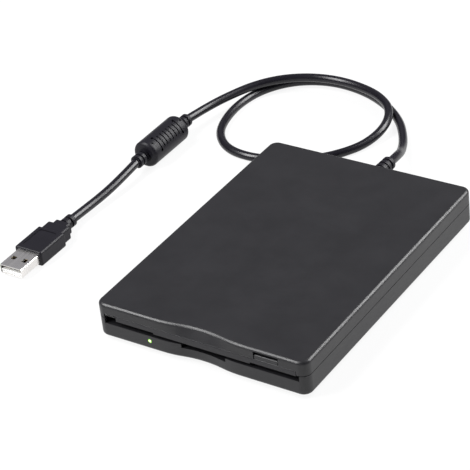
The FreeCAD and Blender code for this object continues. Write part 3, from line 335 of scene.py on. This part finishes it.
def glowing_lens(name):
    # Translucent lamp window with its light painted in: a painted glow, nearly white in the middle, and
    # painted shade, deep green, at the rim where the wall shades it.
    material = new_finish(name)
    nodes = material.node_tree.nodes
    links = material.node_tree.links
    place = nodes.new("ShaderNodeTexCoord")
    centre = nodes.new("ShaderNodeMapping")
    centre.inputs["Location"].default_value = (-LAMP_X / LAMP_R, 0, -LAMP_Z / LAMP_R)
    centre.inputs["Scale"].default_value = (1 / LAMP_R, 0, 1 / LAMP_R)
    reach = nodes.new("ShaderNodeVectorMath")
    reach.operation = "LENGTH"
    cloud = object_noise(material, LENS_CELLS, LENS_DETAIL)
    blur = nodes.new("ShaderNodeMath")
    blur.operation = "MULTIPLY_ADD"
    blur.inputs[1].default_value = LENS_UNEVENNESS
    ramp = nodes.new("ShaderNodeValToRGB")
    glow = ramp.color_ramp.elements
    glow[0].position, glow[0].color = LENS_LIT
    glow[1].position, glow[1].color = LENS_RIM
    glow.new(LENS_BETWEEN[0]).color = LENS_BETWEEN[1]
    links.new(place.outputs["Object"], centre.inputs["Vector"])
    links.new(centre.outputs["Vector"], reach.inputs[0])
    links.new(cloud.outputs["Fac"], blur.inputs[0])
    links.new(reach.outputs["Value"], blur.inputs[2])
    links.new(blur.outputs["Value"], ramp.inputs["Fac"])
    shader = shader_of(material)
    links.new(ramp.outputs["Color"], shader.inputs["Base Color"])
    links.new(ramp.outputs["Color"], shader.inputs["Emission Color"])
    vary_roughness(material, cloud, 0.2, 0.3)
    shader.inputs["Emission Strength"].default_value = LENS_GLOW
    return material


def circuit_board(name):
    # Green solder mask with slightly raised, lighter tracks.
    material = new_finish(name)
    nodes = material.node_tree.nodes
    links = material.node_tree.links
    place = nodes.new("ShaderNodeTexCoord")
    tracks = nodes.new("ShaderNodeTexBrick")
    tracks.inputs["Scale"].default_value = TRACK_CELLS
    tracks.inputs["Mortar Size"].default_value = TRACK_WIDTH
    tracks.inputs["Brick Width"].default_value = TRACK_SPACING
    tracks.inputs["Color1"].default_value = MASK_DARK
    tracks.inputs["Color2"].default_value = MASK_LIGHT
    tracks.inputs["Mortar"].default_value = TRACK_GREEN
    links.new(place.outputs["Object"], tracks.inputs["Vector"])
    links.new(tracks.outputs["Color"], shader_of(material).inputs["Base Color"])
    cloud = object_noise(material, BOARD_CELLS, BOARD_DETAIL)
    vary_roughness(material, cloud, 0.24, 0.36)
    raise_grain(material, tracks, TRACK_HEIGHT)
    return material


# Shares of the noise's scale along X, Y and Z: a small share draws the pattern out along that axis
EVEN = (1, 1, 1)
ALONG_X = (0.04, 1, 1)
ALONG_Y = (1, 0.04, 1)
ALONG_Z = (1, 1, 0.04)
LEVEL_LAYERS = (0.04, 0.04, 1)

# Moulded: colour, roughness, grain in cells per metre and its depth, gloss level.
# Metal: colour, roughness, lay and its depth.
FINISHES = {
    "case_black": moulded("case_black", (0.0116, 0.0113, 0.0128), 0.38, 2600, 2.2e-5, 0.42),
    "door_black": moulded("door_black", (0.0118, 0.0112, 0.0135), 0.4, 2900, 1.6e-5, 0.38),
    "screw_steel": sheet_metal("screw_steel", (0.42, 0.42, 0.43), 0.34, EVEN),
    "foot_rubber": moulded("foot_rubber", (0.02, 0.02, 0.02), 0.75, 1800, 2e-5, 0.3),
    "spring_steel": sheet_metal("spring_steel", (0.2, 0.2, 0.2), 0.32, ALONG_Y),
    "zinc_sheet": sheet_metal("zinc_sheet", (0.58, 0.59, 0.61), 0.33, ALONG_Y),
    "lamp_lens": glowing_lens("lamp_lens"),
    "lamp_body": moulded("lamp_body", (0.4, 0.5, 0.2), 0.2, 800, 2e-6),
    "cast_frame": sheet_metal("cast_frame", (0.5, 0.5, 0.51), 0.5, EVEN, 1.2e-5),
    "rod_steel": sheet_metal("rod_steel", (0.68, 0.68, 0.68), 0.17, ALONG_Y),
    "board_green": circuit_board("board_green"),
    "bearing_brass": sheet_metal("bearing_brass", (0.62, 0.43, 0.16), 0.36, EVEN, 6e-6),
    "core_steel": sheet_metal("core_steel", (0.3, 0.3, 0.31), 0.42, LEVEL_LAYERS),
    "coil_copper": sheet_metal("coil_copper", (0.62, 0.24, 0.1), 0.3, ALONG_Z, 1.5e-5),
    "magnet_dark": moulded("magnet_dark", (0.05, 0.05, 0.052), 0.45, 1500, 1e-5, 0.5),
    "drive_plastic": moulded("drive_plastic", (0.62, 0.62, 0.58), 0.42, 1500, 4e-6),
    "head_ceramic": moulded("head_ceramic", (0.42, 0.41, 0.38), 0.16, 1500, 1e-6, 0.6),
    "chip_black": moulded("chip_black", (0.016, 0.016, 0.017), 0.6, 5000, 6e-6, 0.4),
    "connector_cream": moulded("connector_cream", (0.66, 0.6, 0.46), 0.4, 1500, 4e-6),
    "ribbon_white": moulded("ribbon_white", (0.7, 0.7, 0.67), 0.35, 1500, 3e-6),
    "crystal_steel": sheet_metal("crystal_steel", (0.75, 0.75, 0.76), 0.16, ALONG_X),
    "lead_insulation": moulded("lead_insulation", (0.4, 0.05, 0.03), 0.35, 1500, 2e-6),
    "cord_pvc": moulded("cord_pvc", (0.0062, 0.0056, 0.0085), 0.27, 2200, 4e-7, 0.34),
    "plug_pvc": moulded("plug_pvc", (0.0082, 0.0076, 0.0108), 0.42, 2200, 1.2e-5, 0.22),
    "shell_nickel": sheet_metal("shell_nickel", (0.84, 0.82, 0.80), 0.3, ALONG_Y),
    "insulator_white": moulded("insulator_white", (0.72, 0.72, 0.7), 0.4, 1500, 3e-6),
    "contact_gold": sheet_metal("contact_gold", (0.8, 0.58, 0.25), 0.2, ALONG_Y),
}


def finish_piece(piece, slot):
    piece.data.materials.clear()
    piece.data.materials.append(FINISHES[slot])


def finish_cad_nodes():
    for name, node in frame["nodes"].items():
        finish = FINISHES[SLOT_OF[name]]
        if node.material_slots:
            for place in node.material_slots:
                place.material = finish
        else:
            node.data.materials.append(finish)


def deselect():
    bpy.ops.object.select_all(action="DESELECT")


def pick(pieces):
    # Selects just these pieces, with the first as the active one.
    deselect()
    for piece in pieces:
        piece.select_set(True)
    bpy.context.view_layer.objects.active = pieces[0]


def settle(piece):
    # Bakes the piece's place into its mesh.
    pick([piece])
    bpy.ops.object.transform_apply(location=True, rotation=True, scale=True)
    bpy.ops.object.shade_smooth_by_angle(angle=SMOOTH_UP_TO)


def add_to_body(piece, body, slot, nodes):
    finish_piece(piece, slot)
    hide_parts(*nodes)
    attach(piece, body)


def join(pieces, name):
    pick(pieces)
    bpy.ops.object.join()
    joined = bpy.context.view_layer.objects.active
    joined.name = name
    return joined


def coil_spring(name, coil_radius, wire_radius, turns, length, axis, start):
    # A wire section swept round the spring's axis, closed at both ends, then turned to lie along X or Y.
    deselect()
    bpy.ops.mesh.primitive_circle_add(vertices=WIRE_SIDES, radius=wire_radius, fill_type="NOTHING",
                                      location=(coil_radius, 0, wire_radius),
                                      rotation=(math.radians(90), 0, 0))
    spring = bpy.context.object
    spring.name = name
    bpy.ops.object.transform_apply(location=True, rotation=True, scale=True)
    screw = spring.modifiers.new("coils", "SCREW")
    screw.axis = "Z"
    screw.angle = math.tau
    screw.iterations = turns
    screw.screw_offset = (length - 2 * wire_radius) / turns
    screw.steps = COIL_STEPS
    screw.render_steps = COIL_STEPS
    screw.use_smooth_shade = True
    pick([spring])
    bpy.ops.object.modifier_apply(modifier=screw.name)
    bpy.ops.object.mode_set(mode="EDIT")
    bpy.ops.mesh.select_all(action="DESELECT")
    bpy.ops.mesh.select_non_manifold()
    bpy.ops.mesh.fill()
    bpy.ops.mesh.select_all(action="SELECT")
    bpy.ops.mesh.normals_make_consistent(inside=False)
    bpy.ops.object.mode_set(mode="OBJECT")
    if axis == "X":
        spring.rotation_euler = (0, math.radians(90), 0)
    else:
        spring.rotation_euler = (math.radians(-90), 0, 0)
    spring.location = start
    settle(spring)
    return spring


def make_door_spring():
    length = DOOR_SPRING_X1 - DOOR_SPRING_X0
    spring = coil_spring("door_coil", DOOR_COIL_R, DOOR_WIRE_R, DOOR_COIL_TURNS, length, "X",
                         (DOOR_SPRING_X0, DOOR_AXIS_Y, DOOR_AXIS_Z))
    add_to_body(spring, "housing", "spring_steel", ["door_spring"])


def make_slide_springs():
    length = SLIDE_SPRING_Y1 - SLIDE_SPRING_Y0
    coils = []
    for side in (-1, 1):
        start = (side * SLIDE_SPRING_X, SLIDE_SPRING_Y0, SLIDE_SPRING_Z)
        coils.append(coil_spring("slide_coil", SLIDE_COIL_R, SLIDE_WIRE_R, SLIDE_COIL_TURNS, length,
                                 "Y", start))
    pair = join(coils, "slide_coils")
    add_to_body(pair, "housing", "spring_steel", ["slide_springs"])


# Studio

def studio_floor():
    deselect()
    bpy.ops.mesh.primitive_plane_add(size=FLOOR_SIZE, location=(0, 0, 0))
    floor = bpy.context.object
    floor.name = "studio_floor"
    material = new_finish("studio_floor")
    nodes = material.node_tree.nodes
    links = material.node_tree.links
    shader = shader_of(material)
    shader.inputs["Base Color"].default_value = FLOOR_GREY
    shader.inputs["Roughness"].default_value = FLOOR_ROUGHNESS
    shader.inputs["Specular IOR Level"].default_value = FLOOR_SHEEN
    white = nodes.new("ShaderNodeEmission")
    white.inputs["Color"].default_value = WHITE
    white.inputs["Strength"].default_value = 1.0
    ray = nodes.new("ShaderNodeLightPath")
    mirrored = nodes.new("ShaderNodeMath")
    mirrored.operation = "MAXIMUM"
    shown = nodes.new("ShaderNodeMath")
    shown.operation = "MAXIMUM"
    share = nodes.new("ShaderNodeMath")
    share.operation = "MULTIPLY"
    share.inputs[1].default_value = FLOOR_WHITE_SHARE
    mix = nodes.new("ShaderNodeMixShader")
    links.new(ray.outputs["Is Camera Ray"], mirrored.inputs[0])
    links.new(ray.outputs["Is Glossy Ray"], mirrored.inputs[1])
    links.new(mirrored.outputs[0], shown.inputs[0])
    links.new(ray.outputs["Is Transmission Ray"], shown.inputs[1])
    links.new(shown.outputs[0], share.inputs[0])
    links.new(share.outputs[0], mix.inputs["Fac"])
    links.new(shader.outputs["BSDF"], mix.inputs[1])
    links.new(white.outputs["Emission"], mix.inputs[2])
    links.new(mix.outputs["Shader"], nodes["Material Output"].inputs["Surface"])
    floor.data.materials.append(material)


def studio_sky():
    world = bpy.data.worlds.new("studio")
    bpy.context.scene.world = world
    world.use_nodes = True
    nodes = world.node_tree.nodes
    links = world.node_tree.links
    plain = nodes["Background"]
    plain.inputs["Color"].default_value = SKY_COLOUR
    plain.inputs["Strength"].default_value = SKY_STRENGTH
    white = nodes.new("ShaderNodeBackground")
    white.inputs["Color"].default_value = WHITE
    white.inputs["Strength"].default_value = 1.0
    ray = nodes.new("ShaderNodeLightPath")
    mix = nodes.new("ShaderNodeMixShader")
    links.new(ray.outputs["Is Camera Ray"], mix.inputs["Fac"])
    links.new(plain.outputs["Background"], mix.inputs[1])
    links.new(white.outputs["Background"], mix.inputs[2])
    links.new(mix.outputs["Shader"], nodes["World Output"].inputs["Surface"])


def softbox(name, place, long_axis, size, power):
    # A flat lamp that faces the middle of the table, its length turned to one direction.
    data = bpy.data.lights.new(name, "AREA")
    data.shape = "RECTANGLE"
    data.size = size[0]
    data.size_y = size[1]
    data.energy = power
    lamp = bpy.data.objects.new(name, data)
    bpy.context.scene.collection.objects.link(lamp)
    back = Vector(place).normalized()
    across = Vector(long_axis).cross(back).normalized()
    along = back.cross(across)
    turn = Matrix((across, along, back)).transposed().to_4x4()
    lamp.matrix_world = Matrix.Translation(place) @ turn


aim_camera()
rear_cord = lay_cord("rear_cable", REAR_ROUTE, "cord_rear")
front_cord = lay_cord("front_cable", FRONT_ROUTE, "cord_front")
for cord in (rear_cord, front_cord):
    finish_piece(cord, "cord_pvc")

finish_cad_nodes()
make_door_spring()
make_slide_springs()
studio_floor()
studio_sky()
for lamp in LAMPS:
    softbox(*lamp)
bpy.context.scene.view_settings.view_transform = "Standard"
